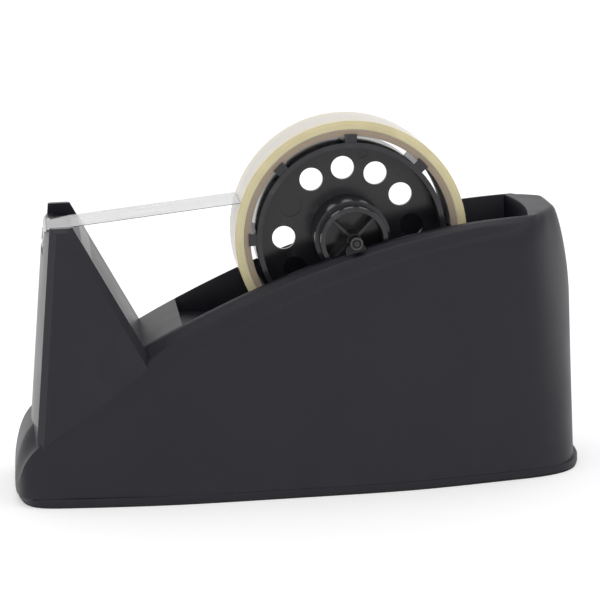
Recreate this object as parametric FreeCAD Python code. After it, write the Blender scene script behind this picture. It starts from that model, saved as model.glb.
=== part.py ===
"""Weighted desk tape dispenser: housing with a reel well, blade tower, lift-out reel and tape roll.

Frame: millimetres, +Z up, origin on the resting plane at the centre of the footprint.
-X is the front, where the blade tower stands; +X is the tall rear end; Y runs along the reel axis.
"Left" is -Y, "right" is +Y, as seen from behind the dispenser.
"""
import FreeCAD, Part
import math
import os

Vec = FreeCAD.Vector
Y_AXIS = Vec(0, 1, 0)
Z_AXIS = Vec(0, 0, 1)

# ---- driving dimensions (mm) ---------------------------------------------------------------
LENGTH = 217.6                # overall, nose to the rear edge of the base
WALL = 2.5                    # moulded wall of the housing
ROOF_DROP = 4.0               # vertical thickness of the roof, whose flanks slope steeply

PAD_T = 0.8                   # anti-slip foam under the base
PAD_INSET = 0.4
BASE_T = 2.8                  # base plate
SEAM_Z = PAD_T + BASE_T       # joint between base plate and housing

RIM_HALF = 25.2               # half width of the level strip along the top of the housing
FLANK_REACH = 20.0            # how far the shoulder surfaces are carried outwards before trimming
FOOT_DEPTH = 40.0             # how far the side view is carried below its ends
FORM_TOP_Z = 100.0            # level of the upper plan outline
SHOULDER_R = 2.0              # rounding of the shoulder crease

WELL_HALF = 24.0              # half width of the reel well
WELL_FRONT_X = -43.6
WELL_REAR_X = 87.0            # straight end of the well, before its bowed rear wall
WELL_BOW = 2.6                # bulge of the rear wall
WELL_R = 60.0                 # curved floor, about the reel axis: clears a full 110 mm roll
WELL_LEDGE_Z = 60.0           # level of the shallow ends of the well
WELL_WALL = 2.2

AXIS_X = 21.9                 # reel axis
AXIS_Z = 93.2
SADDLE_Z = 85.5               # floor of the notches that carry the spindle
SADDLE_HALF = 4.2
SADDLE_OUTER_Y = 30.0

TAPE_W = 25.4                 # 1 inch tape on a 3 inch core
CORE_IN_R = 38.1
CORE_OUT_R = 40.6
TAPE_OUT_R = 43.9             # a roll that is nearly used up
STRIP_T = 0.2
STRIP_GAP = 0.15              # between the free strip and the turning roll

SPINDLE_R = 1.7
SPINDLE_PIN_R = 1.15          # thinner end that takes the cap
SPINDLE_BOSS_R = 2.5          # round boss on the outer face of each tongue
SPINDLE_END_Y = 28.4
CAP_CLEARANCE = 0.02
TONGUE_HALF = 4.0
TONGUE_IN_Y = 22.8
TONGUE_OUT_Y = 26.6
TONGUE_TOP_Z = AXIS_Z - 0.8
TONGUE_R = 2.0
BEARING_CLEARANCE = 0.05

HUB_R = 12.7                  # takes a 1 inch core
HUB_BORE_R = 10.9
HUB_HALF = 22.3
HUB_RIB_T = 1.3
HUB_RIB_SETBACK = 2.4
HUB_WALL_Y = (-12.0, -10.4)   # closing wall inside the hub
SLEEVE_R = 2.7
SLEEVE_HALF = 22.3
HUB_COLLAR_R = 14.3           # neck of the reel wheel round the hub
HUB_COLLAR_Y = -16.8
HUB_FLANGE_T = 2.0            # ring of the hub behind the web

WEB_FACE_Y = -1.0             # outer face of the reel's web, half way across the drum
WEB_T = 2.0
RIM_R = 35.8
RIM_T = 1.9
RIM_FRONT_Y = -14.0           # the rim is a drum nearly as wide as the tape
RIM_BACK_Y = 12.2
HOLE_R = 4.45
HOLE_PITCH_R = 24.5
HOLE_COUNT = 12
HOLE_START_DEG = 183.0
DIMPLED_HOLE = 1              # this position is only a shallow dimple
DIMPLE_DEPTH = 0.5
TAB_COUNT = 8
TAB_DEG = 7.0
TAB_START_DEG = 44.0
TAB_R = 38.05
TAB_LIP_R = 38.9
TAB_LIP_T = 0.8
EJECTOR_R = 2.0
EJECTOR_POINT = (28.1, 123.0)  # X and Z of the moulding mark on the web

TOWER_HALF = 31.1             # outer faces of the tower's cheeks
CHEEK_T = 4.5
TOWER_TOP_Z = 104.6
TOWER_FRONT_TOP_X = -91.0     # front edges of the cheeks; the front panel bows out beyond them
TOWER_REAR_TOP_X = -82.6
PANEL_BOW = 2.2               # bulge of the front panel in plan
TOWER_FRONT_LEAN = 0.107      # run in X per mm of height
TOWER_REAR_LEAN = 0.523
TOWER_FOOT_Z = 15.0           # the tower is trimmed to the housing above this level
TOWER_CHAMFER = 2.6
TOWER_TOP_CHAMFER = 1.5
PANEL_T = 2.2
REST_FRONT_Z = 101.0          # tape rest, falling to the rear
REST_REAR_Z = 98.8
REST_DEPTH = 7.0
REST_GROOVE_X = (-84.6, -82.6)
REST_GROOVE_DEPTH = 3.0

BLADE_T = 0.6
BLADE_OUT = 1.5               # blade's face stands in front of the cheeks' front edges by this much
BLADE_HALF = 14.0
BLADE_FOOT_Z = 92.0
BLADE_ROOT_Z = 100.6
BLADE_TIP_Z = 102.2
TOOTH_COUNT = 14
RIVET_R = 1.3
RIVET_HEAD_R = 2.3
RIVET_HEAD_T = 0.5
RIVET_Y = 9.5
RIVET_Z = 96.0

BALLAST_X = (-62.0, 84.0)
BALLAST_HALF = 25.0
BALLAST_T = 16.0
BALLAST_EDGE = 1.6
FENCE_T = 1.6
FENCE_H = 5.0

SCREW_R = 1.5
SCREW_HOLE_R = 1.7
SCREW_HEAD_R = 2.9
SCREW_HEAD_T = 1.4
POST_R = 3.8
SCREW_DEPTH = 12.0
BASE_SCREWS = ((-88.0, 20.0), (4.0, 30.4), (97.0, 11.0))       # X, |Y|
TOWER_SCREW_X = -74.0
TOWER_SCREW_Y = 22.0
TOWER_BOSS_R = 4.2
TOWER_BOSS_Z = (40.0, 62.0)
TOWER_SCREW_Z = (28.5, 56.0)

# control points of the plan outlines, right half from nose to rear: X, Y
BASE_OUTLINE = ((-108.8, 0), (-108.8, 7.5), (-107, 32.5), (-92, 34.5), (-50, 40), (0, 38.6), (40, 39.3),
                (78, 32), (96, 30.1), (108.8, 19.2), (108.8, 0))
FOOTPRINT = ((-108.8, 0), (-108.8, 14), (-108.8, 34), (-92, 32.8), (-50, 40), (0, 38.6), (40, 39.3),
             (78, 32), (96, 30.1), (107.1, 19.2), (107.1, 0))
TOP_OUTLINE = ((-108.3, 0), (-108.3, 16.2), (-108.3, 12.1), (-90, 25.6), (-50, 31), (0, 31.2),
               (40, 31.1), (78, 31), (89.2, 35.5), (107.1, 4), (107.1, 0))

# control points of the side view from nose to rear: X, Z, and the flank's fall over its reach
SIDE_VIEW = ((-108.8, 4.0, 25.4), (-108.8, 9.2, 25.4), (-105.8, 26.1, 25.4), (-94.5, 32.7, 30.8),
             (-74.0, 49.3, 36.2), (-45.0, 65.2, 27.0), (0.0, 85.0, 21.4), (45.0, 96.5, 23.4),
             (78.0, 100.1, 20.8), (99.7, 100.4, 18.1), (99.7, 103.0, 18.1), (106.8, 79.0, 18.1),
             (108.3, 55.0, 18.1))


# ---- helpers ------------------------------------------------------------------------------
def outline_wire(half, z, inset=0.0):
    """Smooth closed plan outline at level z, drawn in by inset on every side."""
    sx = 1.0 - inset / (LENGTH / 2)
    sy = 1.0 - inset / max(y for _, y in half)
    poles = [Vec(x * sx, y * sy, z) for x, y in half]
    spline = Part.BSplineCurve()
    spline.buildFromPoles(poles, False, 3)
    edge = spline.toShape()
    return Part.Wire([edge, edge.mirror(Vec(0, 0, 0), Y_AXIS)])


def plate(wire, height):
    """Solid plate from a flat wire, thickened upwards."""
    return Part.Face(wire).extrude(Vec(0, 0, height))


def side_prism(points, half_y):
    """Prism of an X-Z polygon between -half_y and half_y."""
    corners = [Vec(x, -half_y, z) for x, z in points]
    face = Part.Face(Part.makePolygon(corners + corners[:1]))
    return face.extrude(Vec(0, 2 * half_y, 0))


def disc(radius, y0, y1, x=AXIS_X, z=AXIS_Z):
    """Cylinder along Y, on the reel axis unless told otherwise."""
    return Part.makeCylinder(radius, y1 - y0, Vec(x, y0, z), Y_AXIS)


def ring(outer, inner, y0, y1):
    """Tube along the reel axis."""
    return disc(outer, y0, y1).cut(disc(inner, y0 - 1, y1 + 1))


def post(x, y, radius, z0, z1):
    """Upright cylinder."""
    return Part.makeCylinder(radius, z1 - z0, Vec(x, y, z0), Z_AXIS)


def block(x0, x1, y0, y1, z0, z1):
    """Upright box from its limits."""
    return Part.makeBox(x1 - x0, y1 - y0, z1 - z0, Vec(x0, y0, z0))


def sector_point(radius, degrees, y):
    """Point at an angle about the reel axis, counted from +X towards +Z."""
    angle = math.radians(degrees)
    return Vec(AXIS_X + radius * math.cos(angle), y, AXIS_Z + radius * math.sin(angle))


def front_x(z, depth=0.0):
    """X of the tower's front face at level z, or of a plane parallel to it, depth behind."""
    lean = math.hypot(1.0, TOWER_FRONT_LEAN)
    return TOWER_FRONT_TOP_X - TOWER_FRONT_LEAN * (TOWER_TOP_Z - z) + depth * lean


def rear_x(z, depth=0.0):
    """X of the tower's rear face at level z, or of a plane parallel to it, depth inside."""
    lean = math.hypot(1.0, TOWER_REAR_LEAN)
    return TOWER_REAR_TOP_X + TOWER_REAR_LEAN * (TOWER_TOP_Z - z) - depth * lean


# ---- housing ------------------------------------------------------------------------------
def side_wire(y, down, flank_share, inset):
    """Side view of the housing at one Y, lowered by down and by a share of the flank's fall."""
    sx = 1.0 - inset / (LENGTH / 2)
    poles = [Vec(x * sx, y, z - down - flank_share * fall) for x, z, fall in SIDE_VIEW]
    spline = Part.BSplineCurve()
    spline.buildFromPoles(poles, False, 3)
    foot_front = Vec(poles[0].x, y, poles[0].z - FOOT_DEPTH)
    foot_rear = Vec(poles[-1].x, y, poles[0].z - FOOT_DEPTH)
    legs = [Part.LineSegment(poles[-1], foot_rear), Part.LineSegment(foot_rear, foot_front),
            Part.LineSegment(foot_front, poles[0])]
    return Part.Wire([spline.toShape()] + [leg.toShape() for leg in legs])


def housing_form(inset=0.0, down=0.0, base_z=SEAM_Z):
    """Outer form of the housing, or its hollow when drawn in."""
    outer_y = RIM_HALF + FLANK_REACH
    stations = ((-outer_y, 1.0), (-RIM_HALF, 0.0), (RIM_HALF, 0.0), (outer_y, 1.0))
    roof = Part.makeLoft([side_wire(y, down, share, inset) for y, share in stations], True, True)
    low = outline_wire(FOOTPRINT, base_z, inset)
    high = outline_wire(TOP_OUTLINE, FORM_TOP_Z + 5, inset)
    walls = Part.makeLoft([low, high], True, True)
    return walls.common(roof).Solids[0]


def shoulder_edges(form):
    """Long creases where the sloping shoulders meet the side walls."""
    found = []
    for edge in form.Edges:
        box = edge.BoundBox
        runs_along = box.XLength > 30.0 and box.ZMin > SEAM_Z + 2
        if runs_along and max(abs(box.YMin), abs(box.YMax)) > RIM_HALF + 0.5:
            found.append(edge)
    return found


def well_plan(grow, z0, z1):
    """Prism of the well's plan outline, grown by grow."""
    x0 = WELL_FRONT_X - grow
    x1 = WELL_REAR_X + grow
    half = WELL_HALF + grow
    corners = (Vec(x1, half, z0), Vec(x0, half, z0), Vec(x0, -half, z0), Vec(x1, -half, z0))
    edges = [Part.LineSegment(a, b).toShape() for a, b in zip(corners[:-1], corners[1:])]
    edges.append(Part.Arc(corners[3], Vec(x1 + WELL_BOW, 0, z0), corners[0]).toShape())
    return plate(Part.Wire(edges), z1 - z0)


def well_shape(grow):
    """Reel well: curved floor about the reel axis and two shallow ends."""
    floor = disc(WELL_R + grow, -WELL_HALF - 10, WELL_HALF + 10)
    ends = block(WELL_FRONT_X - 10, WELL_REAR_X + 20, -WELL_HALF - 10, WELL_HALF + 10,
                 WELL_LEDGE_Z - grow, FORM_TOP_Z + 20)
    return well_plan(grow, 20.0, FORM_TOP_Z + 20).common(floor.fuse(ends))


def base_screw_points():
    """X and Y of every base screw."""
    return [(x, side * y) for x, y in BASE_SCREWS for side in (-1, 1)]


def tower_screw_points():
    """X and Y of the two screws that hold the tower down."""
    return [(TOWER_SCREW_X, side * TOWER_SCREW_Y) for side in (-1, 1)]


def make_housing(form):
    """Moulded shell with its reel well, spindle notches and screw posts."""
    shell = form.cut(housing_form(WALL, ROOF_DROP, SEAM_Z - 5))
    inner = [well_shape(WELL_WALL).common(form)]
    inner += [post(x, y, POST_R, SEAM_Z, 110).common(form) for x, y in base_screw_points()]
    inner += [post(x, y, POST_R + 1, TOWER_SCREW_Z[0] + SCREW_HEAD_T, 60).common(form)
              for x, y in tower_screw_points()]
    housing = shell
    for piece in inner:
        housing = housing.fuse(piece)
    cuts = [well_shape(0.0)]
    for side in (-1, 1):
        y0, y1 = sorted((side * (WELL_HALF - 1), side * SADDLE_OUTER_Y))
        cuts.append(block(AXIS_X - SADDLE_HALF, AXIS_X + SADDLE_HALF, y0, y1, SADDLE_Z, 110))
    cuts += [post(x, y, SCREW_R, SEAM_Z - 1, SEAM_Z + SCREW_DEPTH) for x, y in base_screw_points()]
    cuts += [post(x, y, SCREW_HOLE_R, 20, 70) for x, y in tower_screw_points()]
    for cut in cuts:
        housing = housing.cut(cut)
    return housing


def make_base_plate():
    """Flat base with a fence round the ballast and countersunk screw holes."""
    base = plate(outline_wire(BASE_OUTLINE, PAD_T), BASE_T)
    fence_outer = block(BALLAST_X[0] - FENCE_T, BALLAST_X[1] + FENCE_T, -BALLAST_HALF - FENCE_T,
                        BALLAST_HALF + FENCE_T, SEAM_Z, SEAM_Z + FENCE_H)
    fence_inner = block(BALLAST_X[0], BALLAST_X[1], -BALLAST_HALF, BALLAST_HALF,
                        SEAM_Z - 1, SEAM_Z + FENCE_H + 1)
    base = base.fuse(fence_outer.cut(fence_inner))
    for x, y in base_screw_points():
        base = base.cut(post(x, y, SCREW_HOLE_R, 0, 10))
        base = base.cut(post(x, y, SCREW_HEAD_R + 0.2, PAD_T - 1, PAD_T + SCREW_HEAD_T + 0.1))
    return base.removeSplitter()


def make_non_slip_pad():
    """Thin foam sheet, cut out round the screw heads."""
    pad = plate(outline_wire(BASE_OUTLINE, 0.0, PAD_INSET), PAD_T)
    for x, y in base_screw_points():
        pad = pad.cut(post(x, y, SCREW_HEAD_R + 0.6, -1, PAD_T + 1))
    return pad


def make_ballast():
    """Cast weight that lies in the fence of the base plate."""
    slab = block(BALLAST_X[0], BALLAST_X[1], -BALLAST_HALF, BALLAST_HALF, SEAM_Z, SEAM_Z + BALLAST_T)
    top = [e for e in slab.Edges if e.BoundBox.ZMin > SEAM_Z + BALLAST_T - 0.01]
    return slab.makeChamfer(BALLAST_EDGE, top)


def screw(x, y, head_z, tip_z):
    """Pan-head screw standing upright, head down."""
    head = post(x, y, SCREW_HEAD_R, head_z, head_z + SCREW_HEAD_T)
    shank = post(x, y, SCREW_R, head_z + SCREW_HEAD_T, tip_z)
    return head.fuse(shank)


# ---- tower --------------------------------------------------------------------------------
def tower_wedge():
    """Whole tower block with its long edges chamfered, before it is split into pieces."""
    profile = ((front_x(TOWER_FOOT_Z), TOWER_FOOT_Z), (TOWER_FRONT_TOP_X, TOWER_TOP_Z),
               (TOWER_REAR_TOP_X, TOWER_TOP_Z), (rear_x(TOWER_FOOT_Z), TOWER_FOOT_Z))
    wedge = side_prism(profile, TOWER_HALF)
    flank = [e for e in wedge.Edges if e.BoundBox.YLength < 1e-6]
    long_edges = [e for e in flank if e.BoundBox.ZLength > 50]
    wedge = wedge.makeChamfer(TOWER_CHAMFER, long_edges)
    top_edges = [e for e in wedge.Edges
                 if e.BoundBox.ZMin > TOWER_TOP_Z - 0.01 and abs(e.BoundBox.YMax) > TOWER_HALF - 0.1
                 and e.BoundBox.YLength < 0.01]
    return wedge.makeChamfer(TOWER_TOP_CHAMFER, top_edges)


def make_cheek(wedge, form, side):
    """One side cheek with its screw boss, seated on the housing."""
    inner_y = TOWER_HALF - CHEEK_T
    y0, y1 = sorted((side * inner_y, side * (TOWER_HALF + 1)))
    cheek = wedge.common(block(-130, 0, y0, y1, 0, 120))
    boss_y = side * TOWER_SCREW_Y
    boss = post(TOWER_SCREW_X, boss_y, TOWER_BOSS_R, *TOWER_BOSS_Z)
    web_y = sorted((boss_y, side * (inner_y + 0.5)))
    web = block(TOWER_SCREW_X - 1.5, TOWER_SCREW_X + 1.5, web_y[0], web_y[1], *TOWER_BOSS_Z)
    cheek = cheek.multiFuse([boss, web]).cut(form)
    return cheek.cut(post(TOWER_SCREW_X, boss_y, SCREW_R, 20, TOWER_SCREW_Z[1])).removeSplitter()


def front_inward():
    """Unit vector square to the tower's front face, pointing into the tower."""
    return Vec(1.0, 0, -TOWER_FRONT_LEAN).normalize()


def on_front(corners, start, depth):
    """Plate parallel to the tower's front plane from its Y-Z corners, starting start mm behind it."""
    points = [Vec(front_x(z), y, z) + front_inward() * start for y, z in corners]
    return Part.Face(Part.makePolygon(points + points[:1])).extrude(front_inward() * depth)


def rivet_pin(y, radius, start, length):
    """Cylinder along a rivet's axis, start mm behind the tower's front face."""
    foot = Vec(front_x(RIVET_Z), y, RIVET_Z) + front_inward() * start
    return Part.makeCylinder(radius, length, foot, front_inward())


def make_front_panel(form):
    """Front cover between the cheeks, bowed outwards and flattened at the top for the blade."""
    top = REST_FRONT_Z
    half = TOWER_HALF - CHEEK_T
    outer = [Vec(front_x(z) - bow, y, z) for z in (TOWER_FOOT_Z, top)
             for y, bow in ((-half, 0.0), (0.0, PANEL_BOW), (half, 0.0))]
    sections = []
    for left, middle, right in (outer[:3], outer[3:]):
        back = [Vec(front_x(left.z, PANEL_T), y, left.z) for y in (half, -half)]
        edges = [Part.Arc(left, middle, right).toShape()]
        edges += [Part.LineSegment(*ends).toShape() for ends in
                  ((right, back[0]), (back[0], back[1]), (back[1], left))]
        sections.append(Part.Wire(edges))
    panel = Part.makeLoft(sections, True, True).cut(form)
    seat = ((-BLADE_HALF, BLADE_FOOT_Z), (-BLADE_HALF, top + 2), (BLADE_HALF, top + 2),
            (BLADE_HALF, BLADE_FOOT_Z))
    panel = panel.cut(on_front(seat, -PANEL_BOW - 1, PANEL_BOW + 1 - BLADE_OUT + BLADE_T))
    for y in (-RIVET_Y, RIVET_Y):
        panel = panel.cut(rivet_pin(y, RIVET_R, -BLADE_OUT - 2, 10))
    return panel


def make_rear_panel(form):
    """Rear cover between the cheeks, from the tape rest down to the housing."""
    top = rest_top_z(rear_x(REST_REAR_Z)) - REST_DEPTH
    outline = ((rear_x(TOWER_FOOT_Z), TOWER_FOOT_Z), (rear_x(top), top), (rear_x(top, PANEL_T), top),
               (rear_x(TOWER_FOOT_Z, PANEL_T), TOWER_FOOT_Z))
    return side_prism(outline, TOWER_HALF - CHEEK_T).cut(form)


def rest_top_z(x):
    """Level of the tape rest at x."""
    run = rear_x(REST_REAR_Z) - front_x(REST_FRONT_Z)
    return REST_FRONT_Z + (REST_REAR_Z - REST_FRONT_Z) * (x - front_x(REST_FRONT_Z)) / run


def make_tape_rest():
    """Sloping platform that the tape end sticks to, with a finger groove across it."""
    front_top = front_x(REST_FRONT_Z, PANEL_T)
    rear_top = rear_x(REST_REAR_Z)
    foot_z = REST_REAR_Z - REST_DEPTH
    outline = ((front_x(foot_z, PANEL_T), foot_z), (front_top, rest_top_z(front_top)),
               (rear_top, REST_REAR_Z), (rear_x(foot_z), foot_z))
    rest = side_prism(outline, TOWER_HALF - CHEEK_T)
    groove_floor = rest_top_z(REST_GROOVE_X[1]) - REST_GROOVE_DEPTH
    groove = block(REST_GROOVE_X[0], REST_GROOVE_X[1], -TOWER_HALF, TOWER_HALF, groove_floor, 110)
    return rest.cut(groove)


def make_blade():
    """Toothed steel strip lying in the front panel's seat."""
    pitch = 2 * BLADE_HALF / TOOTH_COUNT
    corners = [(-BLADE_HALF, BLADE_FOOT_Z), (-BLADE_HALF, BLADE_ROOT_Z)]
    for tooth in range(TOOTH_COUNT):
        left = -BLADE_HALF + tooth * pitch
        corners += [(left + pitch / 2, BLADE_TIP_Z), (left + pitch, BLADE_ROOT_Z)]
    corners.append((BLADE_HALF, BLADE_FOOT_Z))
    blade = on_front(corners, -BLADE_OUT, BLADE_T)
    for y in (-RIVET_Y, RIVET_Y):
        blade = blade.cut(rivet_pin(y, RIVET_R, -BLADE_OUT - 2, 10))
    return blade


def make_rivet(y):
    """Domed rivet through the blade and the front panel."""
    head = rivet_pin(y, RIVET_HEAD_R, -BLADE_OUT - RIVET_HEAD_T, RIVET_HEAD_T)
    return head.fuse(rivet_pin(y, RIVET_R, -BLADE_OUT, BLADE_OUT + PANEL_T))


# ---- reel and tape ------------------------------------------------------------------------
def make_reel_wheel():
    """Drum with a web of finger holes, a neck round the hub and gripping tabs for the 3 inch core."""
    web = ring(RIM_R - RIM_T + 0.5, HUB_R, WEB_FACE_Y, WEB_FACE_Y + WEB_T)
    rim = ring(RIM_R, RIM_R - RIM_T, RIM_FRONT_Y, RIM_BACK_Y)
    collar = ring(HUB_COLLAR_R, HUB_R, HUB_COLLAR_Y, WEB_FACE_Y + 0.5)
    wheel = web.fuse(rim).fuse(collar)
    grip = ring(TAB_R, RIM_R - 0.5, -TAPE_W / 2, RIM_BACK_Y)
    lip = ring(TAB_LIP_R, RIM_R - 0.5, -TAPE_W / 2 - TAB_LIP_T, -TAPE_W / 2)
    grips = grip.fuse(lip)
    for index in range(TAB_COUNT):
        centre = TAB_START_DEG + index * 360.0 / TAB_COUNT
        corners = [sector_point(0, 0, RIM_FRONT_Y), sector_point(50, centre - TAB_DEG / 2, RIM_FRONT_Y),
                   sector_point(50, centre + TAB_DEG / 2, RIM_FRONT_Y)]
        sector = Part.Face(Part.makePolygon(corners + corners[:1])).extrude(Vec(0, 40, 0))
        wheel = wheel.fuse(grips.common(sector))
    for index in range(HOLE_COUNT):
        centre = sector_point(HOLE_PITCH_R, HOLE_START_DEG - index * 360.0 / HOLE_COUNT, 0)
        depth = DIMPLE_DEPTH if index == DIMPLED_HOLE else WEB_T + 1
        wheel = wheel.cut(disc(HOLE_R, WEB_FACE_Y - 1, WEB_FACE_Y + depth, centre.x, centre.z))
    return wheel.cut(disc(EJECTOR_R, WEB_FACE_Y - 1, WEB_FACE_Y + DIMPLE_DEPTH, *EJECTOR_POINT))


def make_reel_hub():
    """Hub for 1 inch cores: outer tube, closing wall, crossed ribs and a bearing sleeve."""
    hub = ring(HUB_R, HUB_BORE_R, -HUB_HALF, HUB_HALF)
    flange_y = WEB_FACE_Y + WEB_T
    hub = hub.fuse(ring(HUB_COLLAR_R, HUB_R - 0.5, flange_y, flange_y + HUB_FLANGE_T))
    hub = hub.fuse(disc(HUB_BORE_R + 0.5, *HUB_WALL_Y))
    hub = hub.fuse(disc(SLEEVE_R, -SLEEVE_HALF, SLEEVE_HALF))
    rib_half = HUB_HALF - HUB_RIB_SETBACK
    rib = block(AXIS_X - HUB_BORE_R - 0.5, AXIS_X + HUB_BORE_R + 0.5, -rib_half, rib_half,
                AXIS_Z - HUB_RIB_T / 2, AXIS_Z + HUB_RIB_T / 2)
    for degrees in (45, -45):
        turned = rib.copy()
        turned.rotate(Vec(AXIS_X, 0, AXIS_Z), Y_AXIS, degrees)
        hub = hub.fuse(turned)
    return hub.cut(disc(SPINDLE_R + BEARING_CLEARANCE, -HUB_HALF - 1, HUB_HALF + 1))


def tongue(side):
    """Flat tongue with a round boss at one end of the spindle; it drops into a housing notch."""
    y0, y1 = sorted((side * TONGUE_IN_Y, side * TONGUE_OUT_Y))
    flat = block(AXIS_X - TONGUE_HALF, AXIS_X + TONGUE_HALF, y0, y1, SADDLE_Z, TONGUE_TOP_Z)
    shoulders = [e for e in flat.Edges
                 if e.BoundBox.ZMin > TONGUE_TOP_Z - 0.01 and e.BoundBox.YLength > 1]
    boss_y = sorted((side * TONGUE_IN_Y, side * SPINDLE_END_Y))
    return flat.makeFillet(TONGUE_R, shoulders).fuse(disc(SPINDLE_BOSS_R, *boss_y))


def make_spindle():
    """Fixed axle with its right tongue, and a thin pin that takes the left cap."""
    bearing = disc(SPINDLE_R, -TONGUE_IN_Y, TONGUE_IN_Y)
    pin = disc(SPINDLE_PIN_R, -SPINDLE_END_Y, 0)
    return bearing.fuse(pin).fuse(tongue(1))


def make_spindle_cap():
    """Left tongue, pressed onto the spindle's pin after the reel is on it."""
    return tongue(-1).cut(disc(SPINDLE_PIN_R + CAP_CLEARANCE, -SPINDLE_END_Y - 1, 0))


def make_tape_strip():
    """Free length of tape from the roll to the tape rest."""
    half = TAPE_W / 2
    leave = sector_point(TAPE_OUT_R + STRIP_GAP, 160.6, 0)
    end_x = front_x(REST_FRONT_Z, BLADE_T - BLADE_OUT + 0.3)
    end_z = REST_FRONT_Z + STRIP_GAP
    outline = ((leave.x, leave.z), (end_x, end_z), (end_x, end_z + STRIP_T), (leave.x, leave.z + STRIP_T))
    return side_prism(outline, half)


# ---- assembly -----------------------------------------------------------------------------
def build_nodes():
    """Every piece of the dispenser by its node name."""
    form = housing_form()
    form = form.makeFillet(SHOULDER_R, shoulder_edges(form))
    wedge = tower_wedge()
    head_z = PAD_T
    base_screws = [screw(x, y, head_z, SEAM_Z + SCREW_DEPTH - 1) for x, y in base_screw_points()]
    tower_screws = [screw(x, y, *TOWER_SCREW_Z) for x, y in tower_screw_points()]
    return {
        "housing": make_housing(form),
        "base_plate": make_base_plate(),
        "non_slip_pad": make_non_slip_pad(),
        "ballast_block": make_ballast(),
        "base_screws": Part.makeCompound(base_screws),
        "tower_cheek_left": make_cheek(wedge, form, -1),
        "tower_cheek_right": make_cheek(wedge, form, 1),
        "tower_front_panel": make_front_panel(form),
        "tower_rear_panel": make_rear_panel(form),
        "tower_screws": Part.makeCompound(tower_screws),
        "tape_rest": make_tape_rest(),
        "cutting_blade": make_blade(),
        "blade_rivets": Part.makeCompound([make_rivet(y) for y in (-RIVET_Y, RIVET_Y)]),
        "spindle": make_spindle(),
        "spindle_cap": make_spindle_cap(),
        "tape_strip": make_tape_strip(),
        "reel_wheel": make_reel_wheel(),
        "reel_hub": make_reel_hub(),
        "tape_core": ring(CORE_OUT_R, CORE_IN_R, -TAPE_W / 2, TAPE_W / 2),
        "tape_winding": ring(TAPE_OUT_R, CORE_OUT_R, -TAPE_W / 2, TAPE_W / 2),
    }


def main():
    """Build every node and write one STEP file for each."""
    os.makedirs("parts", exist_ok=True)
    for name, shape in build_nodes().items():
        shape.exportStep(os.path.join("parts", name + ".step"))
        print(name, "solids", len(shape.Solids), "volume", round(shape.Volume), "valid", shape.isValid())


main()
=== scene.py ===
import logging
import math
from bisect import bisect
from dataclasses import dataclass
from enum import Enum
from typing import Callable, Sequence

import bmesh
import bpy
from mathutils import Matrix, Vector

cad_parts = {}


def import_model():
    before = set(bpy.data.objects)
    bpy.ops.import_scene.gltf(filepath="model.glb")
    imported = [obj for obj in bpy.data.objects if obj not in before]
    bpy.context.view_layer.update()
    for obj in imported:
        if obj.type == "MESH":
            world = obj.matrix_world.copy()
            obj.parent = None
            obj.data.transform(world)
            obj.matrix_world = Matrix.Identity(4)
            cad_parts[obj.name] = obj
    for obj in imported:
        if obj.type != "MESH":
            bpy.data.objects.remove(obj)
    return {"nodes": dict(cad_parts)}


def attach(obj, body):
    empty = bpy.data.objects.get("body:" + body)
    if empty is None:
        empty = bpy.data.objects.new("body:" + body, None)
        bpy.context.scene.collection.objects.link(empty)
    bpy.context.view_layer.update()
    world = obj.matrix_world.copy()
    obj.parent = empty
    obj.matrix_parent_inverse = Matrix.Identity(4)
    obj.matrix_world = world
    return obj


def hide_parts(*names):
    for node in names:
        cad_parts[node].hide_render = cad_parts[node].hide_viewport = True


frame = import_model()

MM = 0.001
AXIS_X, AXIS_Z = 21.9, 93.2  # reel axis in millimetres
TAPE_HALF_WIDTH = 12.7  # in millimetres
SHARP_DEGREES = 35.0  # edges that turn by more stay crisp
ROUNDED_DEGREES = 28.0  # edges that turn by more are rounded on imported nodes
WELD_GAP = 1e-6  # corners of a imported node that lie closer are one, in metres
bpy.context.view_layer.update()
log = logging.getLogger("dispenser")

Point = tuple[float, float, float]
Plan = tuple[tuple[float, float], ...]
Colour = tuple[float, float, float]
Shape = bmesh.types.BMesh
Socket = bpy.types.NodeSocket
Tree = bpy.types.NodeTree
WHITE: Colour = (1.0, 1.0, 1.0)


class Body(Enum):
    """Moving bodies of the dispenser."""

    DISPENSER = "dispenser"
    SPINDLE = "spindle"
    REEL = "reel"


class Slot(Enum):
    """Names of material slots."""

    SHELL = "shell_black"
    SPINDLE = "spindle_black"
    CORE = "core_board"
    WINDING = "tape_roll"


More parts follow.
